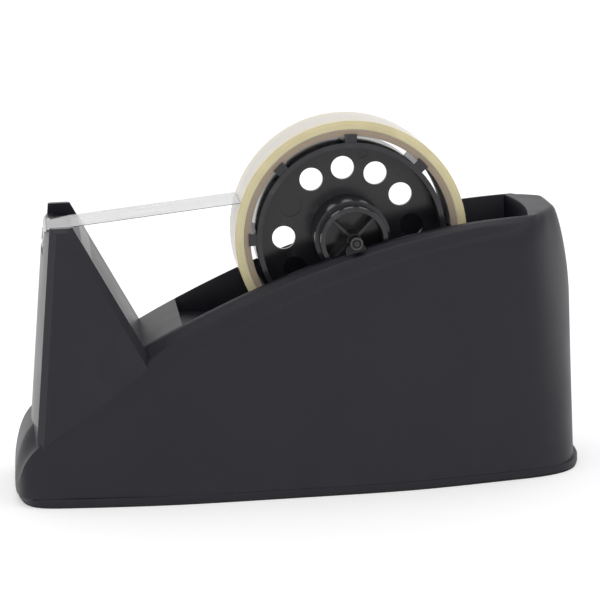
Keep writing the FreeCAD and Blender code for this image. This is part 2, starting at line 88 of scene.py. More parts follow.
# ---- shader nodes ----------------------------------------
class NodeSheet:
    """Node tree of a material, a world or a group, to which nodes are added ready joined."""

    def __init__(self, tree: Tree) -> None:
        """Keeps the tree."""
        self.tree = tree

    def feed(self, value: object, socket: Socket) -> None:
        """Fills an input.

        Args:
            value: output socket to link, or the number, vector or colour to set.
            socket: the input.
        """
        if isinstance(value, Socket):
            self.tree.links.new(value, socket)
        elif socket.type == "RGBA":
            socket.default_value = (*value, 1.0)
        else:
            socket.default_value = value

    def add(self, kind: str, inputs: dict[str | int, object] | None = None,
            **settings: object) -> bpy.types.Node:
        """Adds one node.

        Args:
            kind: name of the node's type.
            inputs: what its inputs are fed with, by name or place.
            settings: attributes of the node to set.

        Returns:
            The new node.
        """
        node = self.tree.nodes.new(kind)
        for key, value in settings.items():
            setattr(node, key, value)
        for key, value in (inputs or {}).items():
            self.feed(value, node.inputs[key])
        return node

    def math(self, operation: str, first: object, second: object = 0.0) -> Socket:
        """Result of a named operation on two numbers or output sockets."""
        return self.add("ShaderNodeMath", {0: first, 1: second}, operation=operation).outputs[0]

    def weigh(self, first: object, second: object, share: float) -> Socket:
        """Weighted sum of two values.

        Args:
            first: number or output socket.
            second: number or output socket.
            share: weight of the first, and the rest is the second's.

        Returns:
            The sum's socket.
        """
        return self.math("ADD", self.math("MULTIPLY", first, share),
                         self.math("MULTIPLY", second, 1.0 - share))

    def blend(self, factor: object, low: object, high: object) -> Socket:
        """Mixes two colours, from low at factor 0 to high at factor 1."""
        inputs = {"Factor": factor, "A": low, "B": high}
        return self.add("ShaderNodeMix", inputs, data_type="RGBA").outputs["Result"]

    def span(self, value: object, low: object, high: object,
             new_low: object = 0.0, new_high: object = 1.0,
             style: str = "LINEAR") -> Socket:
        """Maps a value from one range to another, clamped.

        Args:
            value: number or output socket.
            low: value that becomes new_low.
            high: value that becomes new_high.
            new_low: lower result.
            new_high: upper result.
            style: kind of interpolation.

        Returns:
            The result socket.
        """
        inputs = dict(enumerate((value, low, high, new_low, new_high)))
        return self.add("ShaderNodeMapRange", inputs, interpolation_type=style).outputs[0]

    def place(self, output: str = "Object") -> Socket:
        """Place on the object, or another output of its texture coordinates."""
        return self.add("ShaderNodeTexCoord").outputs[output]

    def part(self, vector: Socket, axis: str) -> Socket:
        """One coordinate of a vector."""
        return self.add("ShaderNodeSeparateXYZ", {0: vector}).outputs[axis]

    def noise(self, scale: object, detail: float, distortion: float = 0.0) -> Socket:
        """Adds noise over the object.

        Args:
            scale: patches per metre, as a number or output socket.
            detail: finer layers of the noise.
            distortion: how much its patches are twisted.

        Returns:
            The noise's value, about 0 to 1.
        """
        inputs = {"Vector": self.place(), "Scale": scale, "Detail": detail, "Distortion": distortion}
        return self.add("ShaderNodeTexNoise", inputs).outputs["Fac"]

    def streaks(self, along_y: float, across: float) -> Socket:
        """Adds noise drawn out into streaks.

        Args:
            along_y: patches per metre along Y.
            across: patches per metre along X and Z.

        Returns:
            The noise's value, about 0 to 1.
        """
        inputs = {"Vector": self.place(), "Scale": (across, along_y, across)}
        drawn = self.add("ShaderNodeMapping", inputs).outputs["Vector"]
        return self.add("ShaderNodeTexNoise", {"Vector": drawn, "Scale": 1.0}).outputs["Fac"]

    def seen(self) -> Socket:
        """Finds the rays that show a surface to the camera, straight, mirrored or through film.

        Returns:
            Mask, 1 for those rays.
        """
        rays = self.add("ShaderNodeLightPath").outputs
        direct = self.math("MAXIMUM", rays["Is Camera Ray"], rays["Is Glossy Ray"])
        return self.math("MAXIMUM", direct, rays["Is Transmission Ray"])


class EffectSheet(NodeSheet):
    """Node group that finishes share, found again once it is made."""

    def __init__(self, name: str, **inputs: float) -> None:
        """Finds the group, or makes it with its inputs.

        Args:
            name: name of the group.
            inputs: default values by input name, with underscores for spaces.
        """
        found = bpy.data.node_groups.get(name)
        super().__init__(found or bpy.data.node_groups.new(name, "ShaderNodeTree"))
        self.is_new = found is None
        if self.is_new:
            for label, value in inputs.items():
                self._new_socket(label.replace("_", " "), "INPUT").default_value = value
            self.given = self.add("NodeGroupInput").outputs

    def _new_socket(self, label: str, side: str) -> bpy.types.NodeTreeInterfaceSocket:
        """Adds a number to the group's inputs or outputs."""
        return self.tree.interface.new_socket(label, in_out=side, socket_type="NodeSocketFloat")

    def put_out(self, **outputs: Socket) -> None:
        """Makes the group's outputs.

        Args:
            outputs: socket that each output takes its value from, by the output's name.
        """
        for label in outputs:
            self._new_socket(label, "OUTPUT")
        self.add("NodeGroupOutput", outputs)


class Effects:
    """Shader node groups shared by several finishes, each made once."""

    @staticmethod
    def moulded_grain() -> Tree:
        """Fine spark-eroded mould texture.

        Returns:
            Group with input Grains per metre and output Height.
        """
        sheet = EffectSheet("moulded_grain", Grains_per_metre=2500.0)
        if sheet.is_new:
            sheet.put_out(Height=sheet.noise(sheet.given["Grains per metre"], detail=3.0))
        return sheet.tree

    @staticmethod
    def edge_wear_and_highlight() -> Tree:
        """Rubbed outer edges, broken up by noise: partly real wear, partly a painted highlight along the
        edges.

        Returns:
            Group with inputs Reach and Patches per metre, and output Mask.
        """
        sheet = EffectSheet("edge_wear_and_highlight", Reach=0.06, Patches_per_metre=120.0)
        if sheet.is_new:
            flat = 0.5  # pointiness of a face without a bend
            pointed = sheet.add("ShaderNodeNewGeometry").outputs["Pointiness"]
            edge = sheet.span(pointed, flat, sheet.math("ADD", sheet.given["Reach"], flat))
            patches = sheet.noise(sheet.given["Patches per metre"], detail=4.0)
            broken = sheet.span(patches, 0.42, 0.66)
            sheet.put_out(Mask=sheet.math("MULTIPLY", edge, broken))
        return sheet.tree

    @staticmethod
    def settled_dust() -> Tree:
        """Dust that lies on faces that look up.

        Returns:
            Group with inputs Amount and Specks per metre, and output Mask.
        """
        sheet = EffectSheet("settled_dust", Amount=0.1, Specks_per_metre=900.0)
        if sheet.is_new:
            normal = sheet.add("ShaderNodeNewGeometry").outputs["Normal"]
            upward = sheet.span(sheet.part(normal, "Z"), 0.2, 0.95)
            specks = sheet.noise(sheet.given["Specks per metre"], detail=6.0)
            lying = sheet.math("MULTIPLY", upward, sheet.span(specks, 0.5, 0.75))
            sheet.put_out(Mask=sheet.math("MULTIPLY", lying, sheet.given["Amount"]))
        return sheet.tree

    @staticmethod
    def handling_marks() -> Tree:
        """Broad smears from handling, as a slow change over the surface.

        Returns:
            Group with inputs Smears per metre, Low and High, and output Value.
        """
        sheet = EffectSheet("handling_marks", Smears_per_metre=30.0, Low=0.2, High=0.4)
        if sheet.is_new:
            smears = sheet.noise(sheet.given["Smears per metre"], detail=2.0, distortion=0.8)
            sheet.put_out(Value=sheet.span(smears, 0.2, 0.8, sheet.given["Low"],
                                           sheet.given["High"], "SMOOTHSTEP"))
        return sheet.tree

    @staticmethod
    def end_faces() -> Tree:
        """Tells the flat ends of a roll from its round surfaces.

        Returns:
            Group with output Mask, 1 on faces that look along the reel axis.
        """
        sheet = EffectSheet("end_faces")
        if sheet.is_new:
            along = sheet.math("ABSOLUTE", sheet.part(sheet.place("Normal"), "Y"))
            sheet.put_out(Mask=sheet.span(along, 0.5, 0.8))
        return sheet.tree

    @staticmethod
    def wound_layers() -> Tree:
        """Fine rings and broader bands of a wound roll, about the reel axis.

        Returns:
            Group with input Layers per metre, and outputs Rings and Bands.
        """
        sheet = EffectSheet("wound_layers", Layers_per_metre=6000.0)
        if sheet.is_new:
            across = sheet.math("SUBTRACT", sheet.part(sheet.place(), "X"), AXIS_X * MM)
            upward = sheet.math("SUBTRACT", sheet.part(sheet.place(), "Z"), AXIS_Z * MM)
            square = sheet.math("ADD", sheet.math("MULTIPLY", across, across),
                                sheet.math("MULTIPLY", upward, upward))
            radius = sheet.math("SQRT", square)
            made = {}
            for name, per_metre, detail in (("Rings", sheet.given["Layers per metre"], 2.0),
                                            ("Bands", 900.0, 1.0)):
                inputs = {"W": sheet.math("MULTIPLY", radius, per_metre), "Scale": 1.0, "Detail": detail}
                noise = sheet.add("ShaderNodeTexNoise", inputs, noise_dimensions="1D")
                made[name] = noise.outputs["Fac"]
            sheet.put_out(**made)
        return sheet.tree


# ---- finishes --------------------------------------------
class Surface(NodeSheet):
    """New material with one Principled shader."""

    def __init__(self, name: str) -> None:
        """Makes the material.

        Args:
            name: name of the finish.
        """
        self.material = bpy.data.materials.new(name)
        self.material.use_nodes = True
        super().__init__(self.material.node_tree)

    def set(self, label: str, value: object) -> None:
        """Sets an input of the shader, or links an output to it."""
        self.feed(value, self.tree.nodes["Principled BSDF"].inputs[label])

    def effect(self, tree: Tree, **values: object) -> bpy.types.NodeOutputs:
        """Places a shared effect.

        Args:
            tree: the effect's group.
            values: what its inputs are fed with, with underscores for spaces.

        Returns:
            The group's outputs.
        """
        inputs = {label.replace("_", " "): value for label, value in values.items()}
        return self.add("ShaderNodeGroup", inputs, node_tree=tree).outputs

    def handle(self, smooth: float, rough: float, smears_per_metre: float = 30.0) -> None:
        """Varies the roughness by handling marks.

        Args:
            smooth: roughness at the smoothest.
            rough: roughness at the roughest.
            smears_per_metre: how close the marks lie.
        """
        marks = self.effect(Effects.handling_marks(), Smears_per_metre=smears_per_metre,
                            Low=smooth, High=rough)
        self.set("Roughness", marks["Value"])

    def bump(self, height: Socket, depth: float) -> None:
        """Raises the surface by a height map of 0 to 1, to a depth in metres."""
        node = self.add("ShaderNodeBump", {"Strength": 1.0, "Distance": depth, "Height": height})
        self.set("Normal", node.outputs["Normal"])


@dataclass(frozen=True)
class MouldedPlastic:
    """Black moulded plastic with grain, handling marks, a little dust, and lighter edges that are partly
    rubbed wear and partly a painted highlight.
    """

    name: str
    smooth: float
    rough: float
    colour: Colour = (0.0015, 0.0013, 0.0075)
    # colour of the lighter edges: partly rubbed wear, partly a painted highlight
    worn_and_highlight_colour: Colour = (0.006, 0.006, 0.012)
    grains_per_metre: float = 2600.0
    grain_depth: float = 2e-6
    dust: float = 0.03
    dust_colour: Colour = (0.32, 0.31, 0.3)
    refraction: float = 1.45

    def build(self) -> bpy.types.Material:
        """Makes the material.

        Returns:
            The finished material.
        """
        surface = Surface(self.name)
        wear_and_highlight = surface.effect(Effects.edge_wear_and_highlight(), Reach=0.08, Patches_per_metre=140.0)
        dust = surface.effect(Effects.settled_dust(), Amount=self.dust)
        # edges are lightened: partly rubbed wear, partly a painted highlight along them
        worn_and_highlit = surface.blend(wear_and_highlight["Mask"], self.colour, self.worn_and_highlight_colour)
        surface.set("Base Color", surface.blend(dust["Mask"], worn_and_highlit, self.dust_colour))
        surface.handle(self.smooth, self.rough)
        surface.set("IOR", self.refraction)
        grain = surface.effect(Effects.moulded_grain(), Grains_per_metre=self.grains_per_metre)
        surface.bump(grain["Height"], self.grain_depth)
        return surface.material


@dataclass(frozen=True)
class SteelStrip:
    """Rolled or plated steel with fine drawn lines."""

    name: str
    colour: Colour
    smooth: float
    rough: float
    line_shade: float = 0.8
    line_depth: float = 2e-6

    def build(self) -> bpy.types.Material:
        """Makes the material.

        Returns:
            The finished material.
        """
        surface = Surface(self.name)
        lines = surface.streaks(along_y=300.0, across=9000.0)
        darker = tuple(self.line_shade * channel for channel in self.colour)
        surface.set("Base Color", surface.blend(lines, darker, self.colour))
        surface.set("Metallic", 1.0)
        surface.handle(self.smooth, self.rough, smears_per_metre=200.0)
        surface.bump(lines, self.line_depth)
        return surface.material


@dataclass(frozen=True)
class RoughSheet:
    """Foam or bare casting: an uneven matt surface."""

    name: str
    low: Colour
    high: Colour
    cells_per_metre: float
    depth: float
    metallic: float = 0.0

    def build(self) -> bpy.types.Material:
        """Makes the material.

        Returns:
            The finished material.
        """
        surface = Surface(self.name)
        inputs = {"Vector": surface.place(), "Scale": self.cells_per_metre}
        cells = surface.add("ShaderNodeTexVoronoi", inputs).outputs["Distance"]
        surface.set("Base Color", surface.blend(cells, self.high, self.low))
        surface.set("Metallic", self.metallic)
        surface.handle(0.75, 0.95)
        surface.bump(cells, self.depth)
        return surface.material


@dataclass(frozen=True)
class Paperboard:
    """Spirally wound board: layered end faces and a smooth pale liner inside."""

    name: str
    low: Colour
    high: Colour
    liner: Colour
    layers_per_metre: float = 5000.0
    fibres_per_metre: float = 1800.0
    ring_share: float = 0.6
    relief: float = 3e-5

    def build(self) -> bpy.types.Material:
        """Makes the material.

        Returns:
            The finished material.
        """
        surface = Surface(self.name)
        layers = surface.effect(Effects.wound_layers(), Layers_per_metre=self.layers_per_metre)
        fibres = surface.noise(self.fibres_per_metre, detail=5.0)
        mixed = surface.weigh(layers["Rings"], fibres, self.ring_share)
        tone = surface.blend(surface.span(mixed, 0.35, 0.65), self.low, self.high)
        ends = surface.effect(Effects.end_faces())["Mask"]
        surface.set("Base Color", surface.blend(ends, self.liner, tone))
        surface.set("Roughness", surface.span(fibres, 0.3, 0.7, 0.55, 0.8))
        surface.bump(mixed, self.relief)
        return surface.material


@dataclass(frozen=True)
class WoundFilm:
    """Clear film wound into a roll: ringed on its sides, and glossy and paler outside."""

    name: str
    low: Colour
    high: Colour
    outside: Colour
    roughness: tuple[float, float] = (0.2, 0.35)
    layers_per_metre: float = 9000.0
    ring_depth: float = 6e-6
    edge_tint: float = 0.65
    edge_from: float = 0.1
    glow: float = 0.25
    glow_reach: Point = (0.004, 0.003, 0.002)

    def build(self) -> bpy.types.Material:
        """Makes the material.

        Returns:
            The finished material.
        """
        surface = Surface(self.name)
        layers = surface.effect(Effects.wound_layers(), Layers_per_metre=self.layers_per_metre)
        blotches = surface.effect(Effects.handling_marks(), Smears_per_metre=60.0, Low=0.0, High=1.0)
        mixed = surface.weigh(layers["Bands"], blotches["Value"], 0.5)
        ringed = surface.weigh(layers["Rings"], mixed, 0.35)
        tone = surface.blend(surface.span(ringed, 0.3, 0.7), self.low, self.high)
        aside = surface.math("ABSOLUTE", surface.part(surface.place(), "Y"))
        edge = TAPE_HALF_WIDTH * MM
        tint = surface.span(aside, self.edge_from * edge, edge, 0.0, self.edge_tint)
        ends = surface.effect(Effects.end_faces())["Mask"]
        outer = surface.blend(tint, self.outside, tone)
        surface.set("Base Color", surface.blend(ends, outer, tone))
        surface.set("Subsurface Weight", self.glow)
        surface.set("Subsurface Radius", self.glow_reach)
        surface.set("Subsurface Scale", 1.0)
        ringing = surface.math("MULTIPLY", layers["Rings"], ends)
        surface.set("Roughness", surface.span(ringing, 0.0, 0.7, *self.roughness))
        surface.bump(ringing, self.ring_depth)
        return surface.material


@dataclass(frozen=True)
class ClearFilm:
    """One thickness of clear adhesive film."""

    name: str
    colour: Colour
    streak_shade: float = 1.03
    streak_depth: float = 1e-6
    refraction: float = 1.46

    def build(self) -> bpy.types.Material:
        """Makes the material.

        Returns:
            The finished material.
        """
        surface = Surface(self.name)
        streaks = surface.streaks(along_y=500.0, across=40.0)
        paler = tuple(min(1.0, self.streak_shade * channel) for channel in self.colour)
        surface.set("Base Color", surface.blend(streaks, self.colour, paler))
        surface.set("Roughness", surface.span(streaks, 0.3, 0.7, 0.02, 0.1))
        surface.set("Transmission Weight", 1.0)
        surface.set("IOR", self.refraction)
        surface.bump(streaks, self.streak_depth)
        return surface.material


# ---- mesh helpers ----------------------------------------
def clamp(value: float, low: float = 0.0, high: float = 1.0) -> float:
    """Holds a value between two limits."""
    return min(max(value, low), high)


def ease(share: float) -> float:
    """Share of 0 to 1 with a soft start and end."""
    return share * share * (3 - 2 * share)


def spline_point(poles: Sequence[Sequence[float]], t: float) -> tuple[float, ...]:
    """Point on a clamped uniform cubic B-spline.

    Args:
        poles: control points.
        t: position along the curve, 0 to 1.

    Returns:
        The point's coordinates, as many as each pole has.
    """
    degree = 3
    spans = len(poles) - degree
    knots = [0.0] * degree + [i / spans for i in range(spans + 1)] + [1.0] * degree
    at = clamp(t)
    k = degree + min(int(at * spans), spans - 1)
    work = [poles[k - degree + i] for i in range(degree + 1)]
    for level in range(1, degree + 1):
        for i in range(degree, level - 1, -1):
            low = knots[k - degree + i]
            share = (at - low) / (knots[k + 1 + i - level] - low)
            work[i] = tuple(a + (b - a) * share for a, b in zip(work[i - 1], work[i]))
    return tuple(work[degree])


def solve(function: Callable[[float], float], low: float, high: float, halvings: int = 40) -> float:
    """Root of an increasing function by halving.

    Args:
        function: increasing function.
        low: lower end of the search.
        high: upper end of the search.
        halvings: steps of the search.

    Returns:
        The argument at which the function is zero, held to the ends.
    """
    for _ in range(halvings):
        middle = (low + high) / 2
        if function(middle) > 0:
            high = middle
        else:
            low = middle
    return (low + high) / 2


def put_in_scene(name: str, content: Shape | bpy.types.ID) -> bpy.types.Object:
    """Makes an object of a mesh, a light or a camera.

    Args:
        name: name of the object.
        content: what it shows, and a bmesh is freed.

    Returns:
        The object.
    """
    if isinstance(content, Shape):
        mesh = bpy.data.meshes.new(name)
        content.to_mesh(mesh)
        content.free()
        content = mesh
    placed = bpy.data.objects.new(name, content)
    bpy.context.scene.collection.objects.link(placed)
    return placed


def finish_piece(name: str, shape: Shape, material: bpy.types.Material, body: Body) -> bpy.types.Object:
    """Turns a bmesh in metres into a piece of the dispenser.

    Args:
        name: name of the piece.
        shape: the mesh, which is freed.
        material: its finish.
        body: the body that it rides on.

    Returns:
        The new object.
    """
    piece = put_in_scene(name, shape)
    piece.data.shade_smooth()
    piece.data.set_sharp_from_angle(angle=math.radians(SHARP_DEGREES))
    piece.data.materials.append(material)
    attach(piece, body.value)
    log.info("made %s: %d faces", name, len(piece.data.polygons))
    return piece


def join_rows(shape: Shape, rows: Sequence[Sequence[bmesh.types.BMVert]],
              closed: bool) -> None:
    """Spans quads between each row of corners and the next.

    Args:
        shape: mesh to add to.
        rows: rows of equal length.
        closed: whether the end of a row is joined to its start.
    """
    for row, following in zip(rows[:-1], rows[1:]):
        for i in range(len(row) if closed else len(row) - 1):
            j = (i + 1) % len(row)
            shape.faces.new((row[i], following[i], following[j], row[j]))


def revolve(outlines: Sequence[Plan], segments: int) -> Shape:
    """Makes closed rings about the reel axis.

    Args:
        outlines: each ring's section, as radius and Y of its corners in millimetres, in order.
        segments: steps round each ring.

    Returns:
        The mesh in metres.
    """
    shape = bmesh.new()
    for outline in outlines:
        rows = []
        for k in range(segments):
            angle = 2 * math.pi * k / segments
            across, upward = math.cos(angle), math.sin(angle)
            corners = [Vector((AXIS_X + radius * across, y, AXIS_Z + radius * upward)) * MM
                       for radius, y in outline]
            rows.append([shape.verts.new(corner) for corner in corners])
        join_rows(shape, [*rows, rows[0]], closed=True)
    bmesh.ops.recalc_face_normals(shape, faces=shape.faces)
    return shape


def dress(material: bpy.types.Material, rounding: float, *nodes: str) -> None:
    """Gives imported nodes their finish, and rounds their edges if asked to.

    Args:
        material: the finish.
        rounding: bevel width in millimetres, or 0 for none.
        nodes: names of the nodes.
    """
    for node in nodes:
        part = frame["nodes"][node]
        part.data.materials.clear()
        part.data.materials.append(material)
        if rounding > 0:
            part.modifiers.new("weld", "WELD").merge_threshold = WELD_GAP
            edge = part.modifiers.new("edge_rounding", "BEVEL")
            edge.width = rounding * MM
            edge.segments = 3
            edge.limit_method = "ANGLE"
            edge.angle_limit = math.radians(ROUNDED_DEGREES)
        log.info("dressed %s", node)


# ---- housing ---------------------------------------------
@dataclass(frozen=True)
class TowerFront:
    """Front of the blade tower: a bowed cover between two chamfered cheeks, in millimetres."""

    top_x: float = -91.0
    top_z: float = 104.6
    lean: float = 0.107
    cover_half: float = 26.6
    bow: float = 2.2
    cheek_half: float = 31.1
    chamfer: float = 2.6

    def x(self, y: float, z: float) -> float:
        """Place of the tower's front surface.

        Args:
            y: place across the dispenser.
            z: level.

        Returns:
            X of the surface.
        """
        plane = self.top_x - self.lean * (self.top_z - z)
        if abs(y) < self.cover_half:
            return plane - self.bow * (1 - (y / self.cover_half) ** 2)
        return plane + max(0.0, abs(y) - self.cheek_half + self.chamfer)


@dataclass
class Housing:
    """Swept moulded shell with its reel well and spindle notches, in millimetres."""

    finish: MouldedPlastic
    tower_front: TowerFront = TowerFront()
    nose_crown: float = 7.3
    nose_crown_from: float = 14.0
    nose_crown_half: float = 27.0
    nose_rows: int = 60
    nose_columns: int = 40
    nose_gap: float = 0.08
    nose_room: float = 6.0
    seam_z: float = 3.6
    wall_top_z: float = 105.0
    rim_half: float = 25.2
    flank_reach: float = 20.0
    crease_soft: float = 0.9
    shoulder_round: float = 1.6
    rear_round: float = 9.0
    rear_round_from: float = 50.0
    rear_round_full: float = 98.0
    round_inset: float = 0.7
    rear_soft_from: float = 84.0
    rear_soft_run: float = 12.0
    rear_soft_aside: float = 6.0
    rear_soft_gap: float = 0.5
    rear_soft_middle: float = 0.03
    rear_passes: int = 36
    rear_fullness: float = 2.6
    shoulder_gentle: float = 0.48
    shoulder_steep: float = 1.9
    shoulder_soft: float = 0.12
    shoulder_full_from: float = -72.0
    shoulder_full_to: float = 92.0
    shoulder_fade: float = 26.0
    lip_round: float = 0.6
    lip_degrees: float = 50.0
    lip_reach: float = 0.05
    footprint: Plan = ((-108.8, 0), (-108.8, 14), (-108.8, 34), (-92, 32.8), (-50, 40), (0, 38.6),
                       (40, 39.3), (78, 32), (96, 30.1), (107.1, 19.2), (107.1, 0))
    top_outline: Plan = ((-108.3, 0), (-108.3, 16.2), (-108.3, 12.1), (-90, 25.6), (-50, 31), (0, 31.2),
                         (40, 31.1), (78, 31), (89.2, 35.5), (107.1, 4), (107.1, 0))
    side_view: tuple[Point, ...] = (
        (-108.8, 4.0, 25.4), (-108.8, 9.2, 25.4), (-105.8, 26.1, 25.4), (-94.5, 32.7, 30.8),
        (-74.0, 49.3, 36.2), (-45.0, 65.2, 27.0), (0.0, 85.0, 21.4), (45.0, 96.5, 23.4),
        (78.0, 100.1, 20.8), (99.7, 100.4, 18.1), (99.7, 103.0, 18.1), (106.8, 79.0, 18.1),
        (108.3, 55.0, 18.1))
    well_half: float = 24.0
    well_front: float = -43.6
    well_rear: float = 87.0
    well_bow: float = 2.6
    well_bow_fade: float = 12.0
    well_radius: float = 60.0
    ledge_z: float = 60.0
    notch_half: float = 4.2
    notch_z: float = 85.5
    notch_from: float = 23.0
    notch_reach: float = 26.9
    notch_height: float = 40.0
    side_steps: int = 3000
    wall_rows: int = 7
    round_rows: int = 8
    roof_rows: int = 14
    crease_rows: int = 3
    middle_rows: int = 8
    section_steps: tuple[int, ...] = (46, 8, 48, 8, 44)

    def __post_init__(self) -> None:
        """Samples the side view: X, roof level and the flank's fall over its reach."""
        steps = self.side_steps
        self._samples = [spline_point(self.side_view, k / steps) for k in range(steps + 1)]
        self._places = [sample[0] for sample in self._samples]

    def _side(self, x: float) -> tuple[float, float]:
        """Reads the side view.

        Args:
            x: place along the dispenser.

        Returns:
            Roof level on the middle line, and fall of the flank over its reach.
        """
        after = min(max(bisect(self._places, x), 1), len(self._places) - 1)
        left, right = self._samples[after - 1], self._samples[after]
        run = right[0] - left[0]
        share = clamp((x - left[0]) / run) if run > 1e-9 else 0.0
        return left[1] + (right[1] - left[1]) * share, left[2] + (right[2] - left[2]) * share

    def roof(self, x: float, y: float) -> float:
        """Level of the roof with its sloping shoulders.

        Args:
            x: place along the dispenser.
            y: place across it.

        Returns:
            Z of the outer surface, at least the seam's level.
        """
        past, soft = abs(y) - self.rim_half, self.crease_soft
        reach = clamp(past + soft, 0.0, 2 * soft) ** 2 / (4 * soft) + max(0.0, past - soft)
        level, fall = self._side(x)
        return max(self.seam_z, level - fall * reach / self.flank_reach)

    def wall(self, t: float, z: float) -> Vector:
        """Point of the side wall.

        Args:
            t: place along the half outline, 0 at the nose and 1 at the rear.
            z: level.

        Returns:
            The point, with Y positive.
        """
        low = spline_point(self.footprint, t)
        high = spline_point(self.top_outline, t)
        share = (z - self.seam_z) / (self.wall_top_z - self.seam_z)
        return Vector((low[0] + (high[0] - low[0]) * share, low[1] + (high[1] - low[1]) * share, z))

    def crest(self, t: float) -> Vector:
        """Point where the side wall meets the shoulder.

        Args:
            t: place along the half outline.

        Returns:
            The point, with Y positive.
        """
        def above(z: float) -> float:
            """Height of the wall's point over the roof there."""
            point = self.wall(t, z)
            return z - self.roof(point.x, point.y)

        return self.wall(t, solve(above, self.seam_z, self.wall_top_z))

    def floor(self, x: float) -> float:
        """Level of the well's floor, which follows the roll between two ledges.

        Args:
            x: place along the dispenser.

        Returns:
            Z of the floor.
        """
        run = abs(x - AXIS_X)
        if run >= self.well_radius:
            return self.ledge_z
        return min(self.ledge_z, AXIS_Z - math.sqrt(self.well_radius ** 2 - run ** 2))

    def _bowed(self, x: float, y: float) -> float:
        """Moves a place back by the bow of the well's rear wall.

        Args:
            x: place along the dispenser.
            y: place across it.

        Returns:
            The new X, which is the old one well before and well behind the wall.
        """
        fade = max(0.0, 1.0 - abs(x - self.well_rear) / self.well_bow_fade)
        return x + fade * self.well_bow * (1 - (y / self.well_half) ** 2)

    def fullness(self, end: Vector, y: float) -> float:
        """Height of the full shoulder over the straight slope from rim to crest.

        Args:
            end: where the shoulder meets the crest's rounding.
            y: place across the dispenser.

        Returns:
            Rise in millimetres, none at the rim and at the crest.
        """
        width = end.y - self.rim_half
        ahead = (end.x - self.shoulder_full_from) / self.shoulder_fade
        behind = (self.shoulder_full_to - end.x) / self.shoulder_fade
        share = clamp(min(ahead, behind))
        if width <= 0 or y <= self.rim_half or share == 0:
            return 0.0
        s = (y - self.rim_half) / width
        drop = self.roof(end.x, self.rim_half) - end.z
        gentle, steep = self.shoulder_gentle * s, 1.0 - self.shoulder_steep * (1.0 - s)
        gap, soft = steep - gentle, self.shoulder_soft
        lower = max(gentle, steep) + max(0.0, soft - abs(gap)) ** 2 / (4 * soft)
        return max(0.0, ease(share) * drop * (s - lower))

    def column(self, t: float, over_well: bool) -> list[Vector]:
        """Points of one cross section from the seam to the middle.

        Args:
            t: place along the half outline.
            over_well: whether the section drops into the well.

        Returns:
            Points in millimetres, with Y positive.
        """
        crest = self.crest(t)
        height = crest.z - self.seam_z
        share = clamp((crest.x - self.rear_round_from) / (self.rear_round_full - self.rear_round_from))
        rounding = self.shoulder_round + (self.rear_round - self.shoulder_round) * share * share
        rounding = min(rounding, height / 3)
        points = [self.wall(t, self.seam_z + (height - rounding) * k / self.wall_rows)
                  for k in range(self.wall_rows + 1)]
        inner = Vector((crest.x, max(0.0, crest.y - rounding * self.round_inset), 0.0))
        inner.z = self.roof(inner.x, inner.y)
        start = points[-1]
        for k in range(1, self.round_rows):
            s = k / self.round_rows
            points.append(start * (1 - s) ** 2 + crest * (2 * s * (1 - s)) + inner * s ** 2)
        crease = self.rim_half + self.crease_soft
        rows = [inner.y + (crease - inner.y) * k / self.roof_rows for k in range(self.roof_rows + 1)]
        rows += [self.rim_half + self.crease_soft * (1 - k / self.crease_rows)
                 for k in range(1, self.crease_rows + 1)]
        rows += [(self.rim_half + self.well_half) / 2, self.well_half]
        for row in rows:
            y = min(row, inner.y)
            points.append(Vector((crest.x, y, self.roof(crest.x, y) + self.fullness(inner, y))))
        edge = points[-1]
        bottom = self.floor(crest.x) if over_well else edge.z
        points.append(Vector((edge.x, edge.y, bottom)))
        for k in range(1, self.middle_rows + 1):
            y = edge.y * (1 - k / self.middle_rows)
            x = self._bowed(crest.x, y)
            points.append(Vector((x, y, self.floor(x) if over_well else self.roof(x, y))))
        return points

    def stations(self) -> list[tuple[float, bool]]:
        """Places of the cross sections, doubled at the ends of the well.

        Returns:
            Pairs of place and whether the section is over the well.
        """
        def at(x: float) -> float:
            """Place at which the crest has that X."""
            return solve(lambda t: self.crest(t).x - x, 0.0, 1.0)

        reach = math.sqrt(self.well_radius ** 2 - (AXIS_Z - self.ledge_z) ** 2)
        marks = [0.0, at(self.well_front), at(AXIS_X - reach), at(AXIS_X + reach),
                 at(self.well_rear), 1.0]
        places = []
        for start, end, steps in zip(marks[:-1], marks[1:], self.section_steps):
            over_well = 0.0 < start and end < 1.0
            places += [(start + (end - start) * k / steps, over_well) for k in range(steps + 1)]
        return places

    def make_shell(self) -> Shape:
        """Closed mesh of the shell.

        Returns:
            The mesh in metres.
        """
        shape = bmesh.new()
        half = [self.column(t, over_well) for t, over_well in self.stations()]
        for side in (1, -1):
            rows = [[shape.verts.new(Vector((p.x, side * p.y, p.z)) * MM) for p in column]
                    for column in half]
            join_rows(shape, rows, closed=False)
        bmesh.ops.remove_doubles(shape, verts=shape.verts, dist=2e-6)
        bmesh.ops.dissolve_degenerate(shape, edges=shape.edges, dist=1e-6)
        rim = [edge for edge in shape.edges if edge.is_boundary]
        bmesh.ops.contextual_create(shape, geom=rim)
        bmesh.ops.recalc_face_normals(shape, faces=shape.faces)
        self._soften_rear(shape)
        self._round_lip(shape)
        return shape

